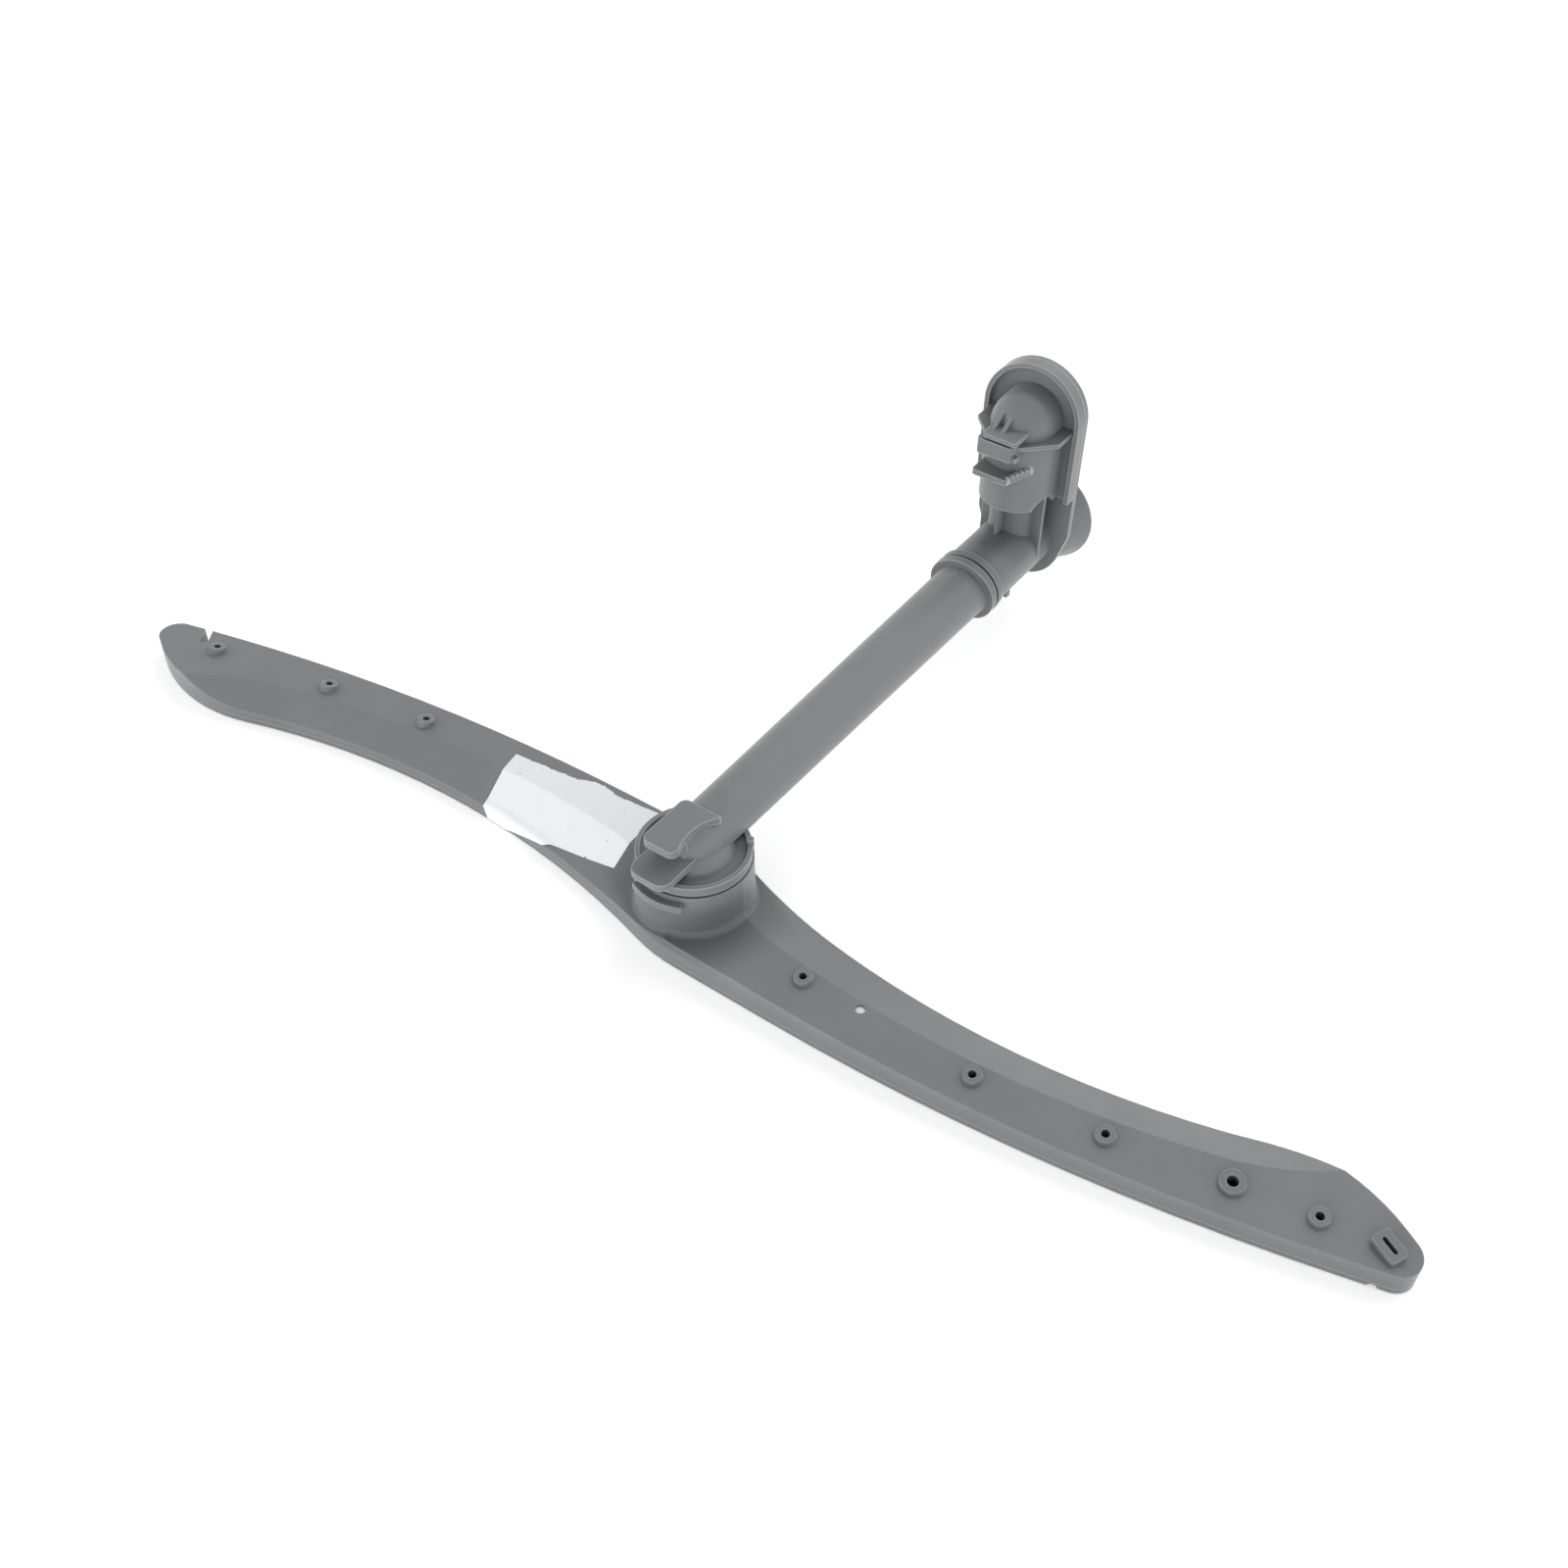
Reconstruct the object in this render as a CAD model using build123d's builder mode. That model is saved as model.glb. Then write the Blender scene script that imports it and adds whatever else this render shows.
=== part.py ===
"""Upper dishwasher spray arm on its feed tube, with the rear docking connector.

Frame: the spin axis of the arm is Z and its underside lies at z = 0.  The feed tube runs along +Y to
the rear connector, and the arm rests with its long side along X.  Sizes are in millimetres.
"""
import os
from math import cos, radians, sin, tan

from build123d import *

os.makedirs("parts", exist_ok=True)

# Placing of a solid by the middle of its lower face, its upper face or its lower front edge
standing = (Align.CENTER, Align.CENTER, Align.MIN)
hanging = (Align.CENTER, Align.CENTER, Align.MAX)
hook_corner = (Align.CENTER, Align.MIN, Align.MIN)

# Clearances
running_clearance = 0.06
seat_clearance = 0.1
free_clearance = 0.3

# Arm outline, seen from above; the half that points to -X is a little longer
right_reach = 239.0
left_reach = 245.0
hub_half_width = 22.1
straight_half = 45.0
leading_radius = 726.0
leading_setback = 16.0
trailing_radius = 300.0
waist_x = 92.0
waist_y = 7.9
hub_blend_radius = 60.0
shoulder_setback = 33.0
shoulder_radius = 60.0
tip_overshoot = 9.0
tip_radius = 6.6

# Arm shells
shell_wall = 1.8
floor_thickness = 2.0
leading_height = 10.0
leading_tip_height = 8.2
leading_slope = 4.5
trailing_height = 5.3
trailing_slope = 20.0
blade_height = 15.0
wedge_reach = 34.0
hub_flare_start = 45.0
hub_flare_x = 4.0
hub_flare_y = 34.8
ridge_bend_setback = 64.0
ridge_end_setback = 30.0
ridge_end_y = 47.0
lip_height = 1.4
lip_width = 1.2

# Spray jets, which stand on the leading facets and lean towards the leading edge
jet_radius = 3.6
jet_tip_radius = 2.9
jet_bore = 1.3
jet_rise = 1.9
jet_root = 4.0
jet_lean = 13.0
wide_jet_radius = 4.2
wide_jet_tip_radius = 3.7
wide_jet_bore = 1.7
slot_jet_length = 9.0
slot_jet_width = 5.8
slot_jet_corner = 1.2
slot_jet_rise = 2.4
slot_mouth_length = 5.6
slot_mouth_width = 1.4
slot_jet_angle = -27.0
vent_radius = 1.6
vent_wall = 1.6

# Drive notch in the tip that points to -X and drain bite in the other tip's floor
drive_notch_width = 3.1
drive_notch_depth = 8.0
drive_notch_angle = 36.0
drive_notch_setback = 15.2
drive_jet_bore = 1.0
drive_jet_z = 5.0
drain_radius = 1.3
drain_depth = 3.0
drain_setback = 10.9

# Spigot, bush and retaining ring
spigot_radius = 11.0
spigot_wall = 2.4
spigot_end = 7.6
bush_wall = 1.6
bush_bottom = 12.0
ring_thickness = 1.7
ring_groove_depth = 0.9
ring_step = 1.3

# Hub turret on the arm, built outwards from the bush
bearing_wall = 2.2
relief_width = 1.84
turret_wall = 2.2
turret_draft = 0.6
turret_top = 27.3
turret_root = 6.0
turret_blend = 2.0
relief_bottom = 14.0
turret_lip_width = 2.6
turret_lip_drop = 1.7
turret_lip_height = 2.6
turret_lip_angle = 271.0
turret_lip_sweep = 52.0

# Feed tube, from the hub to the front of the docking plate
plate_front = 202.3
tube_rise = 5.7
tube_front_radius = 9.1
tube_rear_radius = 10.6
tube_wall = 1.8
tube_insert = 19.0
dish_inset = 0.5
dish_gap = 0.6
dish_thickness = 1.6
dish_rim_height = 1.6
dish_rim_width = 1.5
elbow_foot_width = 2.0
tube_flat_reach = 25.0
nub_radius = 1.2
nub_height = 1.5
nub_angle = 42.0

# Front rack clip
front_tab_side = 7.2
front_tab_front = -16.6
front_tab_back = 5.0
front_tab_rise = 10.4
front_tab_thickness = 2.6
front_tab_corner = 2.6
front_tab_waist = 3.5
front_tab_waist_y = -4.0
front_tongue_left = -8.4
front_tongue_right = 6.2
front_tongue_front = -22.8
front_tongue_rise = 1.2
front_tongue_thickness = 2.4
front_tongue_corner = 4.0
front_web_thickness = 1.6
front_web_front = -9.0
front_web_hollow = 1.6

# Rear connector sleeve
sleeve_length = 45.3
sleeve_wall = 1.6
collar_step = 1.0
collar_width = 2.8
collar_pitch = 4.4
mouth_slant = 9.0
seal_thickness = 1.8
throat_step = 1.6
lug_size = 2.2
lug_setback = 26.3
lug_angle = -38.0

# Rear connector tower, with its heights counted from the upper port
port_rise = 53.4
plate_thickness = 2.2
hood_depth = 4.7
hood_half_width = 19.2
hood_wall = 2.0
hood_rim = 1.8
hood_drop = 30.0
hood_arch_rise = 1.2
riser_setback = 9.3
riser_radius = 8.6
riser_bore = 6.8
shroud_radius = 13.4
shroud_wall = 1.6
shroud_drop = 29.5
shroud_arch_radius = 6.0
shroud_arch_drop = 2.0
shroud_arch_setback = 2.0
ledge_drop = 1.0
ledge_thickness = 1.5
ledge_half_width = 16.6
ledge_front_half = 5.4
ledge_corner_setback = 4.0
ledge_lip = 2.0
dome_wall = 2.8
port_bore = 9.2
rib_thickness = 1.2
rib_lap = 6.5

# Rear rack clip on the tower's front
clip_reach = 6.0
clip_top_left = -6.0
clip_top_right = 7.2
clip_block_left = -8.0
clip_block_right = 5.8
clip_floor_left = -8.8
clip_floor_right = 5.6
clip_top_rise = 3.3
clip_top_thickness = 1.5
clip_slit = 1.0
clip_block_thickness = 5.8
clip_wire_gap = 7.4
clip_floor_thickness = 2.2
clip_corner = 1.2
clip_hook_size = 1.6
clip_hook_depth = 2.6
gusset_places = (-4.6, -0.8)
gusset_thickness = 1.2
gusset_reach = 16.0
gusset_rise = 4.4

# Docking plate, mouths and seals
plate_corner_rise = 6.4
plate_corner_radius = 2.5
plate_foot_radius = 16.4
bell_flare = 7.1
bell_length = 17.0
bell_wall = 1.8
lower_gasket_width = 1.9
gasket_width = 2.6
gasket_length = 3.0
gasket_seat = 1.4

# Paper label on the arm half that points to -X
label_thickness = 0.12
label_margin = 0.5
label_near_front = (-28.4, -6.5)
label_near_back = (-31.4, 20.4)
label_far_front = (-84.0, -12.0)
label_far_back = (-89.7, 14.4)

# Places derived from the sizes above
bush_bore = spigot_radius + running_clearance
bush_radius = bush_bore + bush_wall
bearing_radius = bush_radius + bearing_wall
relief_radius = bearing_radius + relief_width
turret_rim_radius = relief_radius + turret_wall
turret_foot_radius = turret_rim_radius + turret_draft
dish_radius = turret_rim_radius - dish_inset
dish_bottom = turret_top + dish_gap
tube_axis_z = dish_bottom + tube_rise
tube_axis = Axis((0, 0, tube_axis_z), (0, 1, 0))
tube_taper_end = plate_front - sleeve_length
hub_rise = waist_y + trailing_radius - hub_half_width
hub_corner = Vector(waist_x - (trailing_radius**2 - hub_rise**2) ** 0.5, hub_half_width)
tube_end = tube_taper_end + tube_insert
notch_angle = radians(drive_notch_angle)
notch_axis = Vector(-sin(notch_angle), cos(notch_angle), 0)


def leading_edge_y(x):
    """Y of the leading edge: straight beside the hub, then a long arc tangent to it."""
    past = max(0.0, x - straight_half)
    return -hub_half_width + leading_radius - (leading_radius**2 - past**2) ** 0.5


def trailing_edge_y(x):
    """Y of the trailing edge: one hollow arc, nearest the hub line at the waist."""
    return waist_y + trailing_radius - (trailing_radius**2 - (x - waist_x) ** 2) ** 0.5


def half_outline(reach):
    """Plan of the arm half that points to +X, with its tip at the given reach."""
    shoulder_x = reach - shoulder_setback
    shoulder = Vector(shoulder_x, trailing_edge_y(shoulder_x))
    leading_end = reach - leading_setback
    leading_tip = Vector(leading_end, leading_edge_y(leading_end))
    swept = leading_end - straight_half
    tip_run = leading_setback + tip_overshoot
    tip = leading_tip + Vector(1, swept / (leading_radius**2 - swept**2) ** 0.5) * tip_run
    with BuildSketch() as plan:
        with BuildLine():
            straight = Line((0, -hub_half_width), (straight_half, -hub_half_width))
            leading = TangentArc(straight @ 1, leading_tip, tangent=straight % 1)
            Polyline(leading @ 1, tip, shoulder)
            ThreePointArc(shoulder, (waist_x, waist_y), hub_corner)
            Polyline(hub_corner, (0, hub_half_width), straight @ 0)
        make_face()
        fillet(plan.vertices().sort_by_distance(tip)[0], tip_radius)
        fillet(plan.vertices().sort_by_distance(shoulder)[0], shoulder_radius)
    return plan.sketch


def arm_outline(inset):
    """Closed plan of the whole arm, drawn in by inset: the two halves, one turned about the hub."""
    with BuildSketch() as plan:
        add(half_outline(right_reach))
        add(half_outline(left_reach), rotation=180)
        hub_corners = [plan.vertices().sort_by_distance(side * hub_corner)[0] for side in (1, -1)]
        fillet(hub_corners, hub_blend_radius)
        if inset:
            offset(amount=-inset)
    return plan.sketch


def leading_facet(reach, side, drop):
    """Flat facet that rises gently from the chord of the leading edge; side is 1 or -1."""
    leading_end = reach - leading_setback
    start = Vector(straight_half, leading_edge_y(straight_half), leading_height - drop)
    chord = Vector(leading_end, leading_edge_y(leading_end), leading_tip_height - drop) - start
    along = chord.normalized()
    slope = radians(leading_slope)
    across = Vector(-along.Y * cos(slope), along.X * cos(slope), sin(slope))
    normal = along.cross(across)
    return Plane(
        origin=(side * start.X, side * start.Y, start.Z),
        x_dir=(side * along.X, side * along.Y, along.Z),
        z_dir=(side * normal.X, side * normal.Y, normal.Z),
    )


def trailing_wedge(reach, drop):
    """Wedge above the trailing facet, swept along the line that the facet falls to."""
    fall = tan(radians(trailing_slope))
    with BuildPart() as wedge:
        with BuildLine(Plane.XY.offset(trailing_height - drop)) as foot:
            bend_x = reach - ridge_bend_setback
            edge = ThreePointArc(
                (hub_flare_start, trailing_edge_y(hub_flare_start)),
                (waist_x, waist_y),
                (bend_x, trailing_edge_y(bend_x)),
            )
            TangentArc(edge @ 1, (reach - ridge_end_setback, ridge_end_y), tangent=edge % 1)
            TangentArc(edge @ 0, (hub_flare_x, hub_flare_y), tangent=edge % 0 * -1)
        path = foot.wires()[0]
        heading = path % 0
        with BuildSketch(Plane(path @ 0, x_dir=(-heading.Y, heading.X, 0), z_dir=heading)):
            Polygon(
                (-wedge_reach, wedge_reach * fall),
                (wedge_reach, -wedge_reach * fall),
                (wedge_reach, wedge_reach),
                (-wedge_reach, wedge_reach),
                align=None,
            )
        sweep(path=path)
    return wedge.part


def blade(inset, drop, base):
    """Arm solid above base: the outline drawn in by inset, under facets lowered by drop."""
    with BuildPart() as solid:
        with BuildSketch(Plane.XY.offset(base)):
            add(arm_outline(inset))
        extrude(amount=blade_height - base)
        split(bisect_by=leading_facet(right_reach, 1, drop), keep=Keep.BOTTOM)
        split(bisect_by=leading_facet(left_reach, -1, drop), keep=Keep.BOTTOM)
        add(trailing_wedge(right_reach, drop), mode=Mode.SUBTRACT)
        add(trailing_wedge(left_reach, drop), rotation=(0, 0, 180), mode=Mode.SUBTRACT)
    return solid.part


def jet_seat(place, rise):
    """Place of a jet's tip above its leading facet, turned so that the jet leans to the leading edge."""
    side = 1 if place[0] > 0 else -1
    facet = leading_facet(right_reach if side > 0 else left_reach, side, 0)
    normal = facet.z_dir
    away = Vector(*place) - facet.origin
    height = facet.origin.Z - (normal.X * away.X + normal.Y * away.Y) / normal.Z
    return Location((*place, height + rise), (side * jet_lean, 0, 0))


def notch_mouth():
    """Point of the leading edge in the middle of the drive notch."""
    notch_x = left_reach - drive_notch_setback
    return Vector(-notch_x, -leading_edge_y(notch_x), drive_jet_z)


def drive_recess(margin):
    """Block of the arm around the slanted drive notch, larger than the notch by margin."""
    with BuildPart() as block:
        add(blade(0, 0, floor_thickness))
        with Locations(Location(notch_mouth(), (0, 0, drive_notch_angle))):
            Box(
                drive_notch_width + 2 * margin,
                2 * (drive_notch_depth + margin),
                2 * blade_height,
                mode=Mode.INTERSECT,
            )
    return block.part


def blade_with_turret():
    """Solid arm with the round hub turret, which runs into the facets with a soft blend."""
    with BuildPart() as solid:
        add(blade(0, 0, floor_thickness))
        with Locations((0, 0, turret_root)):
            Cone(turret_foot_radius, turret_rim_radius, turret_top - turret_root, align=standing)
        foot = [edge for edge in solid.edges(Select.NEW) if edge.center().Z < turret_top - turret_blend]
        fillet(foot, turret_blend)
    return solid.part


def rod(radius, start, end, axis_height):
    """Round bar along Y at the given height, from y = start to y = end."""
    with BuildPart() as bar:
        with BuildSketch(Plane.XZ.offset(-start)):
            with Locations((0, axis_height)):
                Circle(radius)
        extrude(amount=start - end)
    return bar.part


# Top shell of the arm: faceted blade, hub turret and moulded jets, hollow from below
round_jets = [(48.9, -9.8), (108.9, -9.9), (149.6, -5.0), (209.0, 6.0)]
round_jets_turned = [(216.8, 8.2), (168.0, -1.4), (126.4, -8.2)]
jet_places = round_jets + [(-x, -y) for x, y in round_jets_turned]
jet_seats = [jet_seat(place, jet_rise) for place in jet_places]
wide_jet_seat = jet_seat((185.2, 2.0), jet_rise)
slot_jet_seat = jet_seat((227.7, 8.3), slot_jet_rise)
vent_place = (69.2, -8.5)

with BuildPart() as arm_top_shell:
    add(blade_with_turret())
    with Locations(*jet_seats):
        Cone(jet_radius, jet_tip_radius, jet_rise + jet_root, align=hanging)
    with Locations(wide_jet_seat):
        Cone(wide_jet_radius, wide_jet_tip_radius, jet_rise + jet_root, align=hanging)
    with BuildSketch(Plane(slot_jet_seat)):
        RectangleRounded(slot_jet_length, slot_jet_width, slot_jet_corner, rotation=slot_jet_angle)
    extrude(amount=-slot_jet_rise - jet_root)
    lip_start = turret_lip_angle - turret_lip_sweep / 2
    with BuildSketch(Plane.XY.offset(turret_top - turret_lip_drop - turret_lip_height)):
        with BuildLine():
            outer_lip = CenterArc(
                (0, 0), turret_rim_radius + turret_lip_width, lip_start, turret_lip_sweep
            )
            inner_lip = CenterArc((0, 0), relief_radius, lip_start, turret_lip_sweep)
            Line(outer_lip @ 0, inner_lip @ 0)
            Line(outer_lip @ 1, inner_lip @ 1)
        make_face()
    extrude(amount=turret_lip_height)
    add(blade(shell_wall, shell_wall, floor_thickness), mode=Mode.SUBTRACT)
    with Locations((*vent_place, floor_thickness)):
        Cylinder(vent_radius + vent_wall, leading_height - floor_thickness, align=standing)
    with Locations((0, 0, floor_thickness)):
        Cylinder(bush_radius, turret_top, align=standing, mode=Mode.SUBTRACT)
    with BuildSketch(Plane.XY.offset(relief_bottom)):
        Circle(relief_radius)
        Circle(bearing_radius, mode=Mode.SUBTRACT)
    extrude(amount=turret_top, mode=Mode.SUBTRACT)
    with Locations(*jet_seats):
        Hole(jet_bore)
    with Locations(wide_jet_seat):
        Hole(wide_jet_bore)
    with Locations((*vent_place, blade_height)):
        Hole(vent_radius)
    with BuildSketch(Plane(slot_jet_seat)):
        SlotOverall(slot_mouth_length, slot_mouth_width, rotation=slot_jet_angle)
    extrude(amount=-slot_jet_rise - jet_root, mode=Mode.SUBTRACT)
    add(drive_recess(shell_wall))
    add(drive_recess(0), mode=Mode.SUBTRACT)
    notch_end = notch_mouth() - notch_axis * (drive_notch_depth + shell_wall / 2)
    with BuildSketch(Plane(notch_end, z_dir=notch_axis)):
        Circle(drive_jet_bore)
    extrude(amount=shell_wall, both=True, mode=Mode.SUBTRACT)
arm_top_shell.part.label = "arm_top_shell"
export_step(arm_top_shell.part, "parts/arm_top_shell.step")

# Bottom shell: flat floor with a lip that locates it inside the walls and stops beside the notch
with BuildPart() as arm_bottom_shell:
    with BuildSketch():
        add(arm_outline(0))
    extrude(amount=floor_thickness)
    with BuildSketch(Plane.XY.offset(floor_thickness)):
        add(arm_outline(shell_wall + seat_clearance))
        add(arm_outline(shell_wall + seat_clearance + lip_width), mode=Mode.SUBTRACT)
    extrude(amount=lip_height)
    add(drive_recess(shell_wall + seat_clearance), mode=Mode.SUBTRACT)
    with Locations((*vent_place, floor_thickness)):
        Hole(vent_radius)
    drain_x = right_reach - drain_setback
    with Locations((drain_x, leading_edge_y(drain_x), 0)):
        Cylinder(drain_radius, 2 * drain_depth, rotation=(90, 0, 0), mode=Mode.SUBTRACT)
arm_bottom_shell.part.label = "arm_bottom_shell"
export_step(arm_bottom_shell.part, "parts/arm_bottom_shell.step")

# Bearing bush pressed into the turret
with BuildPart() as hub_bush:
    with BuildSketch(Plane.XY.offset(bush_bottom)):
        Circle(bush_radius)
        Circle(bush_bore, mode=Mode.SUBTRACT)
    extrude(amount=turret_top - bush_bottom)
hub_bush.part.label = "hub_bush"
export_step(hub_bush.part, "parts/hub_bush.step")

# Retaining ring in the spigot's groove, which carries the bush and the arm
ring_top = bush_bottom - free_clearance
with BuildPart() as retaining_ring:
    with BuildSketch(Plane.XY.offset(ring_top - ring_thickness)):
        Circle(spigot_radius + ring_step)
        Circle(spigot_radius - ring_groove_depth, mode=Mode.SUBTRACT)
    extrude(amount=ring_thickness)
retaining_ring.part.label = "retaining_ring"
export_step(retaining_ring.part, "parts/retaining_ring.step")

# Paper label: a thin skin over the facets of the arm half that points to -X
with BuildPart() as arm_label:
    add(blade(label_margin, -label_thickness, trailing_height))
    with BuildSketch(Plane.XY):
        Polygon(label_near_back, label_near_front, label_far_front, label_far_back, align=None)
    extrude(amount=blade_height, mode=Mode.INTERSECT)
    add(blade_with_turret(), mode=Mode.SUBTRACT)
arm_label.part.label = "arm_label"
export_step(arm_label.part, "parts/arm_label.step")

# Feed tube: tapered pipe with a domed front end, elbow, dish, spigot and the front rack clip
spigot_bore = spigot_radius - spigot_wall
with BuildPart() as feed_tube:
    with BuildSketch(Plane.YZ):
        with BuildLine():
            nose = CenterArc((0, tube_axis_z), tube_front_radius, 90, 90)
            Polyline(
                nose @ 0,
                (tube_taper_end, tube_axis_z + tube_rear_radius),
                (tube_end, tube_axis_z + tube_rear_radius),
                (tube_end, tube_axis_z),
                nose @ 1,
            )
        make_face()
    revolve(axis=tube_axis)
    with Locations((0, 0, dish_bottom)):
        Box(
            2 * dish_radius,
            2 * tube_flat_reach,
            tube_front_radius,
            align=hanging,
            mode=Mode.SUBTRACT,
        )
        Cylinder(dish_radius, dish_thickness + dish_rim_height, align=standing)
    with Locations((0, 0, dish_bottom + dish_thickness)):
        Cylinder(
            dish_radius - dish_rim_width,
            dish_rim_height,
            align=standing,
            mode=Mode.SUBTRACT,
        )
        Cone(
            spigot_radius + elbow_foot_width,
            tube_front_radius,
            tube_axis_z - dish_bottom - dish_thickness,
            align=standing,
        )
    with BuildSketch(Plane.XY.offset(spigot_end)):
        Circle(spigot_radius)
    extrude(amount=dish_bottom - spigot_end)
    with Locations(Location((0, 0, dish_bottom + dish_thickness), nub_angle)):
        with Locations((dish_radius - dish_rim_width / 2, 0, 0)):
            Cylinder(nub_radius, dish_rim_height + nub_height, align=standing)
    tab_top = tube_axis_z + front_tab_rise
    tab_bottom = tab_top - front_tab_thickness
    tongue_top = tube_axis_z + front_tongue_rise
    with BuildSketch(Plane.XY.offset(tab_bottom)) as tab:
        with BuildLine():
            tab_edge = Polyline(
                (front_tab_side, front_tab_front),
                (-front_tab_side, front_tab_front),
                (-front_tab_side, front_tab_back),
                (front_tab_side, front_tab_back),
            )
            ThreePointArc(tab_edge @ 1, (front_tab_waist, front_tab_waist_y), tab_edge @ 0)
        make_face()
        fillet(tab.vertices().sort_by(Axis.X)[:2], front_tab_corner)
        fillet(tab.vertices().sort_by_distance(tab_edge @ 0)[0], front_tab_corner)
    extrude(amount=front_tab_thickness)
    with BuildSketch(Plane.XY.offset(tongue_top)):
        with Locations(((front_tongue_left + front_tongue_right) / 2, front_tongue_front / 2)):
            RectangleRounded(
                front_tongue_right - front_tongue_left, -front_tongue_front, front_tongue_corner
            )
    extrude(amount=-front_tongue_thickness)
    for web_x in (front_web_thickness - front_tab_side, front_tab_waist):
        with BuildSketch(Plane.YZ.offset(web_x - front_web_thickness)):
            with BuildLine():
                web_front = ThreePointArc(
                    (front_web_front, tongue_top),
                    (front_web_front + front_web_hollow, (tongue_top + tab_bottom) / 2),
                    (front_web_front, tab_bottom),
                )
                Polyline(web_front @ 1, (0, tab_bottom), (0, tongue_top), web_front @ 0)
            make_face()
        extrude(amount=front_web_thickness)
    with BuildSketch(Plane.YZ):
        with BuildLine():
            bore_nose = CenterArc((0, tube_axis_z), tube_front_radius - tube_wall, 90, 90)
            Polyline(
                bore_nose @ 0,
                (tube_taper_end, tube_axis_z + tube_rear_radius - tube_wall),
                (tube_end, tube_axis_z + tube_rear_radius - tube_wall),
                (tube_end, tube_axis_z),
                bore_nose @ 1,
            )
        make_face()
    revolve(axis=tube_axis, mode=Mode.SUBTRACT)
    with Locations((0, 0, spigot_end)):
        Cylinder(
            spigot_bore,
            dish_bottom - spigot_end,
            align=standing,
            mode=Mode.SUBTRACT,
        )
    with Locations((0, 0, dish_bottom)):
        Cone(
            spigot_bore,
            tube_front_radius - tube_wall,
            tube_axis_z - dish_bottom,
            align=standing,
            mode=Mode.SUBTRACT,
        )
    with BuildSketch(Plane.XY.offset(ring_top - ring_thickness)):
        Circle(spigot_radius)
        Circle(spigot_radius - ring_groove_depth, mode=Mode.SUBTRACT)
    extrude(amount=ring_thickness, mode=Mode.SUBTRACT)
feed_tube.part.label = "feed_tube"
export_step(feed_tube.part, "parts/feed_tube.step")

# Seal between the tube's end and the sleeve's shoulder
throat_radius = tube_rear_radius - throat_step
with BuildPart() as tube_seal:
    add(rod(tube_rear_radius, tube_end, tube_end + seal_thickness, tube_axis_z))
    add(rod(throat_radius, tube_end, tube_end + seal_thickness, tube_axis_z), mode=Mode.SUBTRACT)
tube_seal.part.label = "tube_seal"
export_step(tube_seal.part, "parts/tube_seal.step")

# Connector body: sleeve for the tube, riser, upper elbow, front shroud and the rear rack clip
rear_face = plate_front + plate_thickness
socket_radius = tube_rear_radius + seat_clearance
socket_end = tube_end + seal_thickness
sleeve_radius = socket_radius + sleeve_wall
slant = radians(mouth_slant)
mouth_axis = Vector(0, cos(slant), sin(slant))
mouth_y = tube_taper_end + (sleeve_radius + collar_step) * sin(slant)
upper_port_z = tube_axis_z + port_rise
hood_front = plate_front - hood_depth
hood_back = plate_front - hood_wall
hood_arch_z = upper_port_z + hood_arch_rise
hood_bottom = upper_port_z - hood_drop
riser_y = plate_front - riser_setback
shroud_bottom = upper_port_z - shroud_drop
ledge_z = upper_port_z - ledge_drop
dome_radius = port_bore + dome_wall
clip_front = riser_y - shroud_radius - clip_reach
clip_top_z = upper_port_z + clip_top_rise
clip_block_top = clip_top_z - clip_top_thickness - clip_slit
clip_block_bottom = clip_block_top - clip_block_thickness
clip_floor_z = clip_block_bottom - clip_wire_gap
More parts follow.
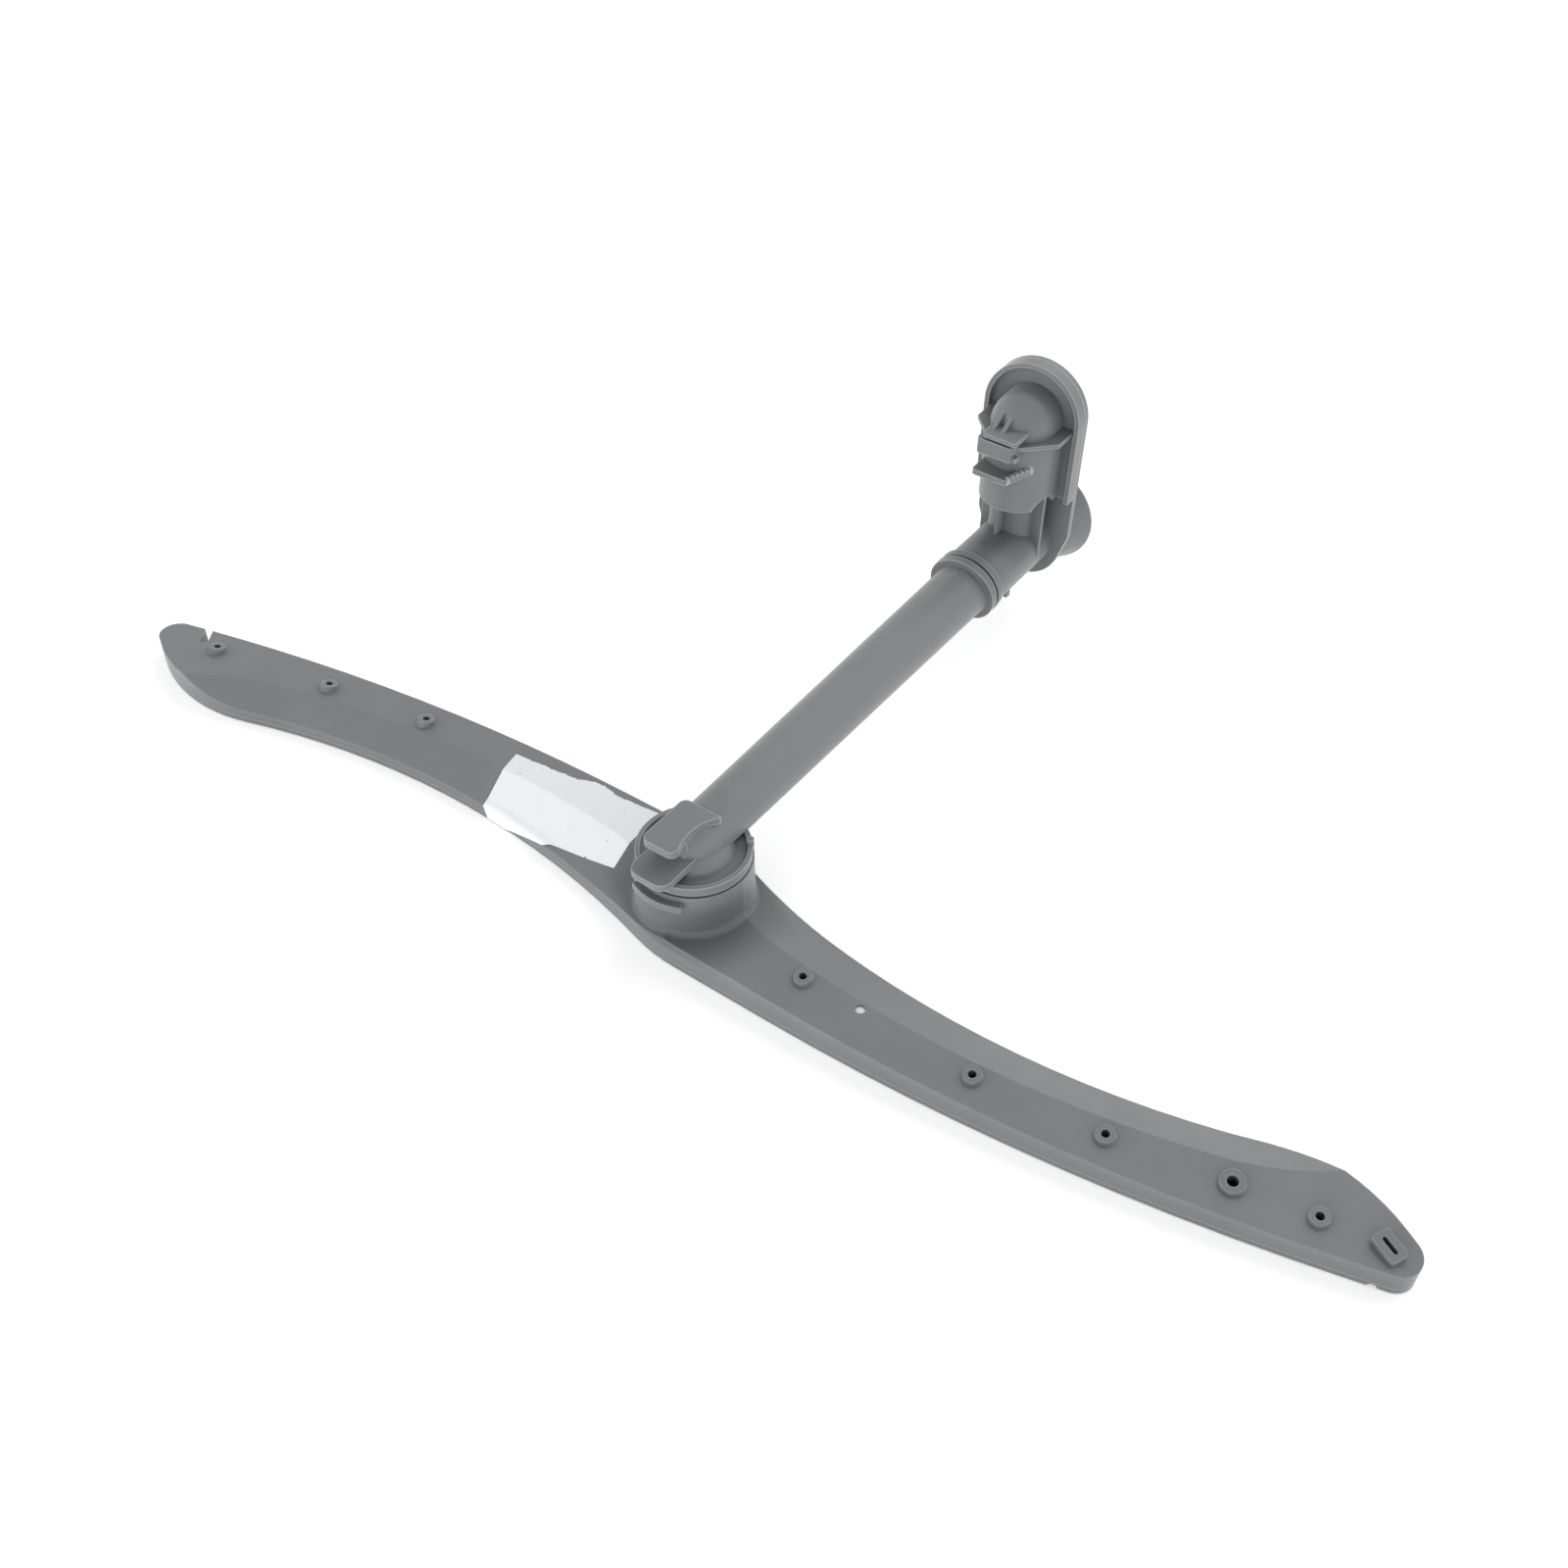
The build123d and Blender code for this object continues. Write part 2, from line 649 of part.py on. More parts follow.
with BuildPart() as connector_body:
    with BuildSketch(Plane.XZ.offset(-hood_front)):
        with Locations((0, hood_arch_z)):
            Circle(hood_half_width)
        with Locations((0, (hood_arch_z + hood_bottom) / 2)):
            Rectangle(2 * hood_half_width, hood_arch_z - hood_bottom)
    extrude(amount=hood_front - plate_front)
    with BuildSketch(Plane.XZ.offset(-hood_front)):
        with Locations((0, hood_arch_z)):
            Circle(hood_half_width - hood_rim)
        with Locations((0, (hood_arch_z + hood_bottom) / 2)):
            Rectangle(2 * (hood_half_width - hood_rim), hood_arch_z - hood_bottom)
    extrude(amount=hood_front - hood_back, mode=Mode.SUBTRACT)
    with BuildSketch(Plane.XY.offset(shroud_bottom)):
        with Locations((0, riser_y)):
            Circle(shroud_radius)
        with Locations((0, (riser_y + hood_back) / 2)):
            Rectangle(2 * shroud_radius, hood_back - riser_y)
    extrude(amount=ledge_z - shroud_bottom)
    with BuildSketch(Plane.XY.offset(ledge_z)):
        Polygon(
            (-ledge_half_width, hood_back),
            (-ledge_half_width, riser_y - ledge_corner_setback),
            (-ledge_front_half, riser_y - shroud_radius - ledge_lip),
            (ledge_front_half, riser_y - shroud_radius - ledge_lip),
            (ledge_half_width, riser_y - ledge_corner_setback),
            (ledge_half_width, hood_back),
            align=None,
        )
    extrude(amount=-ledge_thickness)
    with BuildSketch(Plane.XY.offset(shroud_bottom)):
        with Locations((0, riser_y)):
            Circle(shroud_radius - shroud_wall)
        with Locations((0, (riser_y + hood_back) / 2)):
            Rectangle(2 * (shroud_radius - shroud_wall), hood_back - riser_y)
    extrude(amount=ledge_z - shroud_wall - shroud_bottom, mode=Mode.SUBTRACT)
    with Locations((0, riser_y - shroud_arch_setback, shroud_bottom - shroud_arch_drop)):
        Cylinder(shroud_arch_radius, 2 * hood_half_width, rotation=(0, 90, 0), mode=Mode.SUBTRACT)
    add(rod(sleeve_radius, tube_taper_end, plate_front, tube_axis_z))
    split(bisect_by=Plane((0, mouth_y, tube_axis_z), z_dir=mouth_axis), keep=Keep.TOP)
    for ring_y in (mouth_y, mouth_y + collar_pitch):
        with BuildSketch(Plane((0, ring_y, tube_axis_z), z_dir=mouth_axis)):
            Circle(sleeve_radius + collar_step)
        extrude(amount=collar_width)
    with Locations((0, riser_y, tube_axis_z)):
        Cylinder(riser_radius, upper_port_z - tube_axis_z, align=standing)
    with Locations((0, riser_y, upper_port_z)):
        Sphere(dome_radius)
    add(rod(dome_radius, riser_y, plate_front, upper_port_z))
    rib_root = (riser_radius + riser_bore) / 2
    rib_end = shroud_radius - shroud_wall / 2
    with Locations((0, riser_y, tube_axis_z)):
        with PolarLocations((rib_root + rib_end) / 2, 3, 180, 180, endpoint=True):
            Box(
                rib_end - rib_root,
                rib_thickness,
                shroud_bottom + rib_lap - tube_axis_z,
                align=standing,
            )
    inside_shroud = shroud_radius - shroud_wall
    clip_top_bottom = clip_top_z - clip_top_thickness
    clip_floor_bottom = clip_floor_z - clip_floor_thickness
    for left, right, top, bottom, hollow in (
        (clip_top_left, clip_top_right, clip_top_z, clip_top_bottom, riser_radius),
        (clip_block_left, clip_block_right, clip_block_top, clip_block_bottom, inside_shroud),
        (clip_floor_left, clip_floor_right, clip_floor_z, clip_floor_bottom, inside_shroud),
    ):
        with BuildSketch(Plane.XY.offset(bottom)):
            with Locations(((left + right) / 2, (clip_front + riser_y) / 2)):
                RectangleRounded(right - left, riser_y - clip_front, clip_corner)
            with Locations((0, riser_y)):
                Circle(hollow, mode=Mode.SUBTRACT)
        extrude(amount=top - bottom)
    with Locations((clip_block_right, clip_front + clip_corner, clip_block_bottom)):
        Box(2 * clip_hook_size, clip_hook_depth, clip_hook_size, align=hook_corner)
    for gusset_x in gusset_places:
        with BuildSketch(Plane.YZ.offset(gusset_x)):
            Polygon(
                (riser_y - gusset_reach, clip_top_bottom),
                (riser_y - riser_radius, clip_top_bottom),
                (riser_y - riser_radius, clip_top_z + gusset_rise),
                (riser_y - gusset_reach, clip_top_z),
                align=None,
            )
        extrude(amount=gusset_thickness)
    lug_x = sleeve_radius * cos(radians(lug_angle))
    lug_z = tube_axis_z + sleeve_radius * sin(radians(lug_angle))
    with Locations((lug_x, plate_front - lug_setback, lug_z)):
        Box(lug_size, lug_size, lug_size)
    split(bisect_by=Plane.XZ.offset(-plate_front), keep=Keep.TOP)
    add(rod(socket_radius, tube_taper_end, socket_end, tube_axis_z), mode=Mode.SUBTRACT)
    add(rod(throat_radius, socket_end, plate_front, tube_axis_z), mode=Mode.SUBTRACT)
    add(rod(port_bore, riser_y - riser_bore, plate_front, upper_port_z), mode=Mode.SUBTRACT)
    with Locations((0, riser_y, tube_axis_z)):
        Cylinder(
            riser_bore,
            upper_port_z - tube_axis_z,
            align=standing,
            mode=Mode.SUBTRACT,
        )
connector_body.part.label = "connector_body"
export_step(connector_body.part, "parts/connector_body.step")

# Docking plate: closes the hood from behind and carries the lower bell mouth
lower_gasket_radius = throat_radius + lower_gasket_width
bell_neck = lower_gasket_radius + seat_clearance + bell_wall
bell_radius = bell_neck + bell_flare
with BuildPart() as docking_plate:
    with BuildSketch(Plane.XZ.offset(-plate_front)):
        with Locations((0, hood_arch_z)):
            Circle(hood_half_width)
        with Locations((0, tube_axis_z)):
            Circle(plate_foot_radius)
        corner_x = hood_half_width - plate_corner_radius
        corner_z = tube_axis_z + plate_corner_rise
        with Locations((corner_x, corner_z), (-corner_x, corner_z)):
            Circle(plate_corner_radius)
        make_hull()
    extrude(amount=-plate_thickness)
    with BuildSketch(Plane.YZ):
        with BuildLine():
            mouth = rear_face + bell_length
            Polyline(
                (rear_face, tube_axis_z + bell_neck),
                (mouth, tube_axis_z + bell_radius),
                (mouth, tube_axis_z + bell_radius - bell_wall),
                (rear_face, tube_axis_z + bell_neck - bell_wall),
                close=True,
            )
        make_face()
    revolve(axis=tube_axis)
    add(rod(throat_radius, plate_front, rear_face, tube_axis_z), mode=Mode.SUBTRACT)
    add(rod(port_bore, plate_front, rear_face, upper_port_z), mode=Mode.SUBTRACT)
    add(
        rod(port_bore + gasket_width + seat_clearance, rear_face - gasket_seat, rear_face, upper_port_z),
        mode=Mode.SUBTRACT,
    )
docking_plate.part.label = "docking_plate"
export_step(docking_plate.part, "parts/docking_plate.step")

# Rubber rings that seal the two docking mouths
upper_gasket_front = rear_face - gasket_seat
with BuildPart() as upper_gasket:
    add(rod(port_bore + gasket_width, upper_gasket_front, upper_gasket_front + gasket_length, upper_port_z))
    add(
        rod(port_bore, upper_gasket_front, upper_gasket_front + gasket_length, upper_port_z),
        mode=Mode.SUBTRACT,
    )
upper_gasket.part.label = "upper_gasket"
export_step(upper_gasket.part, "parts/upper_gasket.step")

with BuildPart() as lower_gasket:
    add(rod(lower_gasket_radius, rear_face, rear_face + gasket_length, tube_axis_z))
    add(rod(throat_radius, rear_face, rear_face + gasket_length, tube_axis_z), mode=Mode.SUBTRACT)
lower_gasket.part.label = "lower_gasket"
export_step(lower_gasket.part, "parts/lower_gasket.step")
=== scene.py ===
import math

import bpy
from mathutils import Matrix, Vector
from mathutils.bvhtree import BVHTree


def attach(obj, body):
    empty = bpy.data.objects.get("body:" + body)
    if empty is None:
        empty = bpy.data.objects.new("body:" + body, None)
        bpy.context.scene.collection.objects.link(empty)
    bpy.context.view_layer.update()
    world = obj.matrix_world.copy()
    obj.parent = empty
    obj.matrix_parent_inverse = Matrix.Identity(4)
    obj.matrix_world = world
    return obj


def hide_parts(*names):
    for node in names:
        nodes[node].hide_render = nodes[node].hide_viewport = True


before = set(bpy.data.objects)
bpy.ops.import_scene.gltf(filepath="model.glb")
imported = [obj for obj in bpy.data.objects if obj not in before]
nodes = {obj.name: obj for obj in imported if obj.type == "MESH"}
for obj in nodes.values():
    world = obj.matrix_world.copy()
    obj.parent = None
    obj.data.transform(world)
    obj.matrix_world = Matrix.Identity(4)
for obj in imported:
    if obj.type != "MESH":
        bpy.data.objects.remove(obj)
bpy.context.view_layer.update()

# Arm top shell
# The upper half of the arm is one grey moulding: a twisted blade with two facets, low jets and a turret.
# It comes out of the mould satin, with a fine grain, clouded colour and edges rounded by half a millimetre.
MM = 0.001


def feed(tree, socket, value):
    """Give a node's socket a plain value, or link it to the socket that the value comes from."""
    if isinstance(value, bpy.types.NodeSocket):
        tree.links.new(value, socket)
    else:
        socket.default_value = value


def reckon(tree, operation, *values):
    """Result of one sum on plain numbers and sockets."""
    step = tree.nodes.new("ShaderNodeMath")
    step.operation = operation
    for socket, value in zip(step.inputs, values):
        feed(tree, socket, value)
    return step.outputs[0]


def fade(tree, value, start, full, shape="LINEAR"):
    """Mask that is 0 where a value is at start or short of it, and grows to 1 at full."""
    ramp = tree.nodes.new("ShaderNodeMapRange")
    ramp.interpolation_type = shape
    feed(tree, ramp.inputs["Value"], value)
    feed(tree, ramp.inputs["From Min"], start)
    feed(tree, ramp.inputs["From Max"], full)
    return ramp.outputs["Result"]


def noise(tree, scale, detail):
    """Cloudy value of 0 to 1 over the piece's own coordinates."""
    place = tree.nodes.new("ShaderNodeTexCoord")
    clouds = tree.nodes.new("ShaderNodeTexNoise")
    clouds.inputs["Scale"].default_value = scale
    clouds.inputs["Detail"].default_value = detail
    tree.links.new(place.outputs["Object"], clouds.inputs["Vector"])
    return clouds.outputs["Fac"]


def mix_colours(tree, share, first, second, blend="MIX"):
    """Colour made of two others, with the second one's share from 0 to 1."""
    mix = tree.nodes.new("ShaderNodeMix")
    mix.data_type = "RGBA"
    mix.blend_type = blend
    feed(tree, mix.inputs["Factor"], share)
    feed(tree, mix.inputs["A"], first)
    feed(tree, mix.inputs["B"], second)
    return mix.outputs["Result"]


def raise_skin(tree, height, strength, depth):
    """Fine relief on a material's skin, from a socket that holds its height."""
    bump = tree.nodes.new("ShaderNodeBump")
    bump.inputs["Strength"].default_value = strength
    bump.inputs["Distance"].default_value = depth
    tree.links.new(height, bump.inputs["Height"])
    tree.links.new(bump.outputs["Normal"], tree.nodes["Principled BSDF"].inputs["Normal"])
    return bump


def moulded_skin_group():
    """Shader group of a moulded skin: clouded colour, a painted highlight on edges, painted shade in
    corners, patchy gloss and grain.
    """
    corner_reach = 16.0 * MM
    gloss_spread = 0.14
    noise_middle = 0.5
    group = bpy.data.node_groups.new("moulded_skin", "ShaderNodeTree")
    face = group.interface
    face.new_socket("Colour", in_out="INPUT", socket_type="NodeSocketColor")
    for name in ("Clouding", "Painted edge highlight", "Edge width", "Painted corner shade", "Roughness", "Grain"):
        face.new_socket(name, in_out="INPUT", socket_type="NodeSocketFloat")
    face.new_socket("Colour", in_out="OUTPUT", socket_type="NodeSocketColor")
    for name in ("Roughness", "Height"):
        face.new_socket(name, in_out="OUTPUT", socket_type="NodeSocketFloat")
    entry = group.nodes.new("NodeGroupInput").outputs
    result = group.nodes.new("NodeGroupOutput").inputs

    cloud = reckon(group, "SUBTRACT", noise(group, scale=42.0, detail=5.0), noise_middle)
    shade = reckon(group, "MULTIPLY_ADD", cloud, entry["Clouding"], 1.0)

    # Painted highlight: a thin band along edges, found by inside occlusion, is lightened as if it caught the
    # light.
    edge = group.nodes.new("ShaderNodeAmbientOcclusion")
    edge.inside = True
    edge.samples = 6
    group.links.new(entry["Edge width"], edge.inputs["Distance"])
    edge_highlight_mask = fade(group, edge.outputs["AO"], start=0.93, full=0.5)
    shade = reckon(group, "MULTIPLY_ADD", edge_highlight_mask, entry["Painted edge highlight"], shade)

    # Painted shade: the colour is darkened where occlusion within 16 mm finds a corner or recess.
    corner = group.nodes.new("ShaderNodeAmbientOcclusion")
    corner.samples = 8
    corner.inputs["Distance"].default_value = corner_reach
    corner_shade_mask = fade(group, corner.outputs["AO"], start=0.92, full=0.3)
    corner_shade = reckon(group, "MULTIPLY", corner_shade_mask, entry["Painted corner shade"])
    shade = reckon(group, "SUBTRACT", shade, corner_shade)
    group.links.new(mix_colours(group, 1.0, entry["Colour"], shade, "MULTIPLY"), result["Colour"])

    patches = noise(group, scale=120.0, detail=3.0)
    gloss = reckon(group, "MULTIPLY_ADD", patches, gloss_spread, entry["Roughness"])
    group.links.new(gloss, result["Roughness"])

    grain = noise(group, scale=2200.0, detail=2.0)
    group.links.new(reckon(group, "MULTIPLY", grain, entry["Grain"]), result["Height"])
    return group


moulded_skin = moulded_skin_group()


def moulded(name, colour, clouding, painted_edge_highlight, edge_width, painted_corner_shade, roughness, grain, rounding):
    """Material of one moulding, with its own values for the shared skin, its painted edge highlight and
    painted corner shade, and its own edge rounding.
    """
    material = bpy.data.materials.new(name)
    material.use_nodes = True
    tree = material.node_tree
    shader = tree.nodes["Principled BSDF"]
    shader.inputs["Sheen Weight"].default_value = 0.35
    shader.inputs["Sheen Roughness"].default_value = 0.4
    skin = tree.nodes.new("ShaderNodeGroup")
    skin.node_tree = moulded_skin
    skin.inputs["Colour"].default_value = (*colour, 1.0)
    skin.inputs["Clouding"].default_value = clouding
    skin.inputs["Painted edge highlight"].default_value = painted_edge_highlight
    skin.inputs["Edge width"].default_value = edge_width
    skin.inputs["Painted corner shade"].default_value = painted_corner_shade
    skin.inputs["Roughness"].default_value = roughness
    skin.inputs["Grain"].default_value = grain
    tree.links.new(skin.outputs["Colour"], shader.inputs["Base Color"])
    tree.links.new(skin.outputs["Roughness"], shader.inputs["Roughness"])
    edges = tree.nodes.new("ShaderNodeBevel")
    edges.samples = 6
    edges.inputs["Radius"].default_value = rounding
    bump = raise_skin(tree, skin.outputs["Height"], strength=0.25, depth=0.06 * MM)
    tree.links.new(edges.outputs["Normal"], bump.inputs["Normal"])
    return material


def painted_ring_shade_group():
    """Shader group that paints shade into a colour round an upright axis, between a foot and a head height.
    """
    group = bpy.data.node_groups.new("painted_ring_shade", "ShaderNodeTree")
    face = group.interface
    face.new_socket("Colour", in_out="INPUT", socket_type="NodeSocketColor")
    face.new_socket("Axis", in_out="INPUT", socket_type="NodeSocketVector")
    for name in ("Reach", "Full reach", "Foot", "Full foot", "Head", "Full head", "Amount"):
        face.new_socket(name, in_out="INPUT", socket_type="NodeSocketFloat")
    face.new_socket("Colour", in_out="OUTPUT", socket_type="NodeSocketColor")
    entry = group.nodes.new("NodeGroupInput").outputs
    result = group.nodes.new("NodeGroupOutput").inputs

    place = group.nodes.new("ShaderNodeTexCoord").outputs["Object"]
    from_axis = group.nodes.new("ShaderNodeVectorMath")
    from_axis.operation = "SUBTRACT"
    group.links.new(place, from_axis.inputs[0])
    group.links.new(entry["Axis"], from_axis.inputs[1])
    level = group.nodes.new("ShaderNodeVectorMath")
    level.operation = "MULTIPLY"
    level.inputs[1].default_value = (1.0, 1.0, 0.0)
    group.links.new(from_axis.outputs["Vector"], level.inputs[0])
    reach = group.nodes.new("ShaderNodeVectorMath")
    reach.operation = "LENGTH"
    group.links.new(level.outputs["Vector"], reach.inputs[0])
    parts = group.nodes.new("ShaderNodeSeparateXYZ")
    group.links.new(place, parts.inputs["Vector"])

    share = entry["Amount"]
    for value, start, full in (
        (reach.outputs["Value"], "Reach", "Full reach"),
        (parts.outputs["Z"], "Head", "Full head"),
        (parts.outputs["Z"], "Foot", "Full foot"),
    ):
        mask = fade(group, value, entry[start], entry[full], "SMOOTHSTEP")
        share = reckon(group, "MULTIPLY", share, mask)
    # Near-black colour of the painted shade.
    painted_shade = (0.05, 0.052, 0.056, 1.0)
    group.links.new(mix_colours(group, share, entry["Colour"], painted_shade), result["Colour"])
    return group


painted_ring_shade = painted_ring_shade_group()


def darken_corner(material, axis, full_reach, reach, foot, head, head_fade, amount):
    """Darken a moulding's skin with painted shade in a corner round an upright axis."""
    foot_fade = 2.0 * MM
    tree = material.node_tree
    base_colour = tree.nodes["Principled BSDF"].inputs["Base Color"]
    skin_colour = base_colour.links[0].from_socket
    painted_shade = tree.nodes.new("ShaderNodeGroup")
    painted_shade.node_tree = painted_ring_shade
    painted_shade.inputs["Axis"].default_value = (*axis, 0.0)
    painted_shade.inputs["Reach"].default_value = reach
    painted_shade.inputs["Full reach"].default_value = full_reach
    painted_shade.inputs["Foot"].default_value = foot
    painted_shade.inputs["Full foot"].default_value = foot + foot_fade
    painted_shade.inputs["Head"].default_value = head
    painted_shade.inputs["Full head"].default_value = head - head_fade
    painted_shade.inputs["Amount"].default_value = amount
    tree.links.new(skin_colour, painted_shade.inputs["Colour"])
    tree.links.new(painted_shade.outputs["Colour"], base_colour)


def dress(node, material):
    """Give a CAD node its material in place of the plain one that it came with."""
    piece = nodes[node]
    piece.data.materials.clear()
    piece.data.materials.append(material)


spin_axis = (0.0, 0.0)
# Painted highlight lightens the arm's edges, and painted shade darkens its corners and recesses.
arm_grey = moulded(
    "arm_grey",
    colour=(0.163, 0.174, 0.184),
    clouding=0.2,
    painted_edge_highlight=0.6,
    edge_width=0.55 * MM,
    painted_corner_shade=0.38,
    roughness=0.38,
    grain=0.3,
    rounding=0.55 * MM,
)
# Painted shade: a dark ring round the turret's foot, where the turret meets the blade.
darken_corner(
    arm_grey,
    axis=spin_axis,
    full_reach=22.0 * MM,
    reach=38.0 * MM,
    foot=6.2 * MM,
    head=27.0 * MM,
    head_fade=9.0 * MM,
    amount=0.58,
)
dress("arm_top_shell", arm_grey)

# Vent light pin
# A white pin in the vent beside the turret paints the floor's light, seen through the open vent, as a white
# dot.
# It is a plain round pin, a little below the arm's skin.
vent_place = Vector((69.2, -8.5, 0.0)) * MM
pin_radius = 1.5 * MM
pin_foot = 4.0 * MM
pin_top = 9.9 * MM
pin_sides = 32
pin_points = []
for height in (pin_foot, pin_top):
    for side in range(pin_sides):
        angle = 2 * math.pi * side / pin_sides
        spoke = Vector((pin_radius * math.cos(angle), pin_radius * math.sin(angle), height))
        pin_points.append(vent_place + spoke)
pin_faces = [tuple(range(pin_sides - 1, -1, -1)), tuple(range(pin_sides, 2 * pin_sides))]
for side in range(pin_sides):
    after = (side + 1) % pin_sides
    pin_faces.append((side, after, pin_sides + after, pin_sides + side))
light_pin_mesh = bpy.data.meshes.new("vent_light_pin")
light_pin_mesh.from_pydata(pin_points, [], pin_faces)
light_pin = bpy.data.objects.new("vent_light_pin", light_pin_mesh)
bpy.context.scene.collection.objects.link(light_pin)
painted_vent_light = moulded(
    "painted_vent_light",
    colour=(0.95, 0.95, 0.95),
    clouding=0.05,
    painted_edge_highlight=0.0,
    edge_width=0.3 * MM,
    painted_corner_shade=0.0,
    roughness=0.4,
    grain=0.1,
    rounding=0.2 * MM,
)
light_pin_mesh.materials.append(painted_vent_light)
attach(light_pin, "spray_arm")

# Arm bottom shell
# The floor of the arm is a flat moulding of the same plastic, welded under the walls of the top shell.
# Only its edge and its drain bite show from above.
dress("arm_bottom_shell", arm_grey)

# Bearing bush and retaining ring
# A pale, slippery plastic bush is pressed into the turret, and a ring in the spigot's groove carries it.
# Both are small turned-looking mouldings with a smooth skin.
bearing_white = moulded(
    "bearing_white",
    colour=(0.72, 0.72, 0.7),
    clouding=0.06,
    painted_edge_highlight=0.05,
    edge_width=0.3 * MM,
    painted_corner_shade=0.3,
    roughness=0.3,
    grain=0.1,
    rounding=0.2 * MM,
)
dress("hub_bush", bearing_white)
dress("retaining_ring", bearing_white)

# Label
# A blank white paper sticker is pressed by hand over the half that points to -X, a little crooked.
# Its front corner is folded down over the arm's wall, and its back edge is torn.
label_near_back = Vector((-31.4, 20.4)) * MM
label_far_back = Vector((-89.7, 14.4)) * MM
label_near_front = Vector((-28.4, -6.5)) * MM
label_far_front_x = -83.0 * MM
label_lift = 0.04 * MM
label_thickness = 0.1 * MM
label_columns = 110
label_rows = 84
label_sharp_angle = math.radians(50)
fold_start = -54.0 * MM
fold_slope = 0.3
fold_reach = 0.8 * MM
fold_bulge = 0.3 * MM
fold_outward = Vector((0, -0.7, 0.7))
swell_height = 2.3 * MM
swell_place = 0.43
swell_width = 0.1
fray_waves = ((0.16 * MM, 41, 0), (0.13 * MM, 97, 1), (0.1 * MM, 173, 2))
wall_edge = 5.9 * MM
wall_foot = 0.35 * MM
wall_lean = 0.88
before_arm = -60.0 * MM
above_arm = 50.0 * MM
backward = Vector((0, 1, 0))
downward = Vector((0, 0, -1))
arm_points = []
arm_faces = []
for node in ("arm_top_shell", "arm_bottom_shell"):
    shell = nodes[node].data
    arm_faces += [[corner + len(arm_points) for corner in facet.vertices] for facet in shell.polygons]
    arm_points += [point.co.copy() for point in shell.vertices]
arm_skin = BVHTree.FromPolygons(arm_points, arm_faces)


def arm_edge(x):
    """Where the arm's front wall meets its facet, at one place along the arm."""
    return arm_skin.ray_cast(Vector((x, before_arm, wall_edge)), backward)[0]


def pressed_on(x, y):
    """For a spot of the flat label: point on the arm, outward direction and nearness to the fold."""
    past = arm_edge(x).y - y
    if past <= 0:
        touch, outward = arm_skin.ray_cast(Vector((x, y, above_arm)), downward)[:2]
    else:
        height = max(wall_edge - past * wall_lean, wall_foot)
        touch, outward = arm_skin.ray_cast(Vector((x, before_arm, height)), backward)[:2]
    nearness = math.exp(-((past / fold_reach) ** 2))
    outward = outward.lerp(fold_outward, nearness).normalized()
    return touch, outward, nearness


def torn(along):
    """How far the torn back edge stands out from a straight line, along the label from 0 to 1."""
    swell = swell_height * math.exp(-(((along - swell_place) / swell_width) ** 2))
    fray = sum(depth * math.sin(speed * along + shift) for depth, speed, shift in fray_waves)
    return swell + fray * math.sqrt(math.sin(math.pi * along))


label_points = []
for height in (label_lift + label_thickness, label_lift):
    for column in range(label_columns + 1):
        along = column / label_columns
        back = label_near_back.lerp(label_far_back, along)
        back.y += torn(along)
        front = label_near_front.copy()
        front.x += (label_far_front_x - front.x) * along
        if front.x < fold_start:
            front.y = arm_edge(front.x).y - fold_slope * (fold_start - front.x)
        else:
            share = (front.x - label_near_front.x) / (fold_start - label_near_front.x)
            front.y += (arm_edge(fold_start).y - front.y) * share
        for row in range(label_rows + 1):
            spot = back.lerp(front, row / label_rows)
            touch, outward, nearness = pressed_on(spot.x, spot.y)
            label_points.append(touch + outward * (height + fold_bulge * nearness))
stride = label_rows + 1
under = len(label_points) // 2
label_faces = []
for column in range(label_columns):
    for row in range(label_rows):
        here = column * stride + row
        there = here + stride
        label_faces.append((here, there, there + 1, here + 1))
        label_faces.append((under + here, under + here + 1, under + there + 1, under + there))
rim = [column * stride for column in range(label_columns + 1)]
rim += [label_columns * stride + row for row in range(1, label_rows + 1)]
rim += [column * stride + label_rows for column in range(label_columns - 1, -1, -1)]
rim += list(range(label_rows - 1, 0, -1))
for here, there in zip(rim, rim[1:] + rim[:1]):
    label_faces.append((there, here, under + here, under + there))
label_mesh = bpy.data.meshes.new("label_sheet")
label_mesh.from_pydata(label_points, [], label_faces)
label_mesh.shade_smooth()
label_mesh.set_sharp_from_angle(angle=label_sharp_angle)
label = bpy.data.objects.new("label_sheet", label_mesh)
bpy.context.scene.collection.objects.link(label)


def paper():
    """Coated paper: a faint fibre in the colour and the relief, and a few dark flecks."""
    dull_white = (0.855, 0.865, 0.9, 1.0)
    clear_white = (0.88, 0.89, 0.925, 1.0)
    fleck_grey = (0.22, 0.22, 0.23, 1.0)
    material = bpy.data.materials.new("label_paper")
    material.use_nodes = True
    tree = material.node_tree
    shader = tree.nodes["Principled BSDF"]
    shader.inputs["Roughness"].default_value = 0.55
    fibre = noise(tree, scale=260.0, detail=6.0)
    whites = mix_colours(tree, fade(tree, fibre, start=0.3, full=0.6), dull_white, clear_white)
    flecks = fade(tree, noise(tree, scale=330.0, detail=1.0), start=0.75, full=0.79)
    tree.links.new(mix_colours(tree, flecks, whites, fleck_grey), shader.inputs["Base Color"])
    raise_skin(tree, fibre, strength=0.3, depth=0.08 * MM)
    return material


label_mesh.materials.append(paper())
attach(label, "spray_arm")
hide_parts("arm_label")

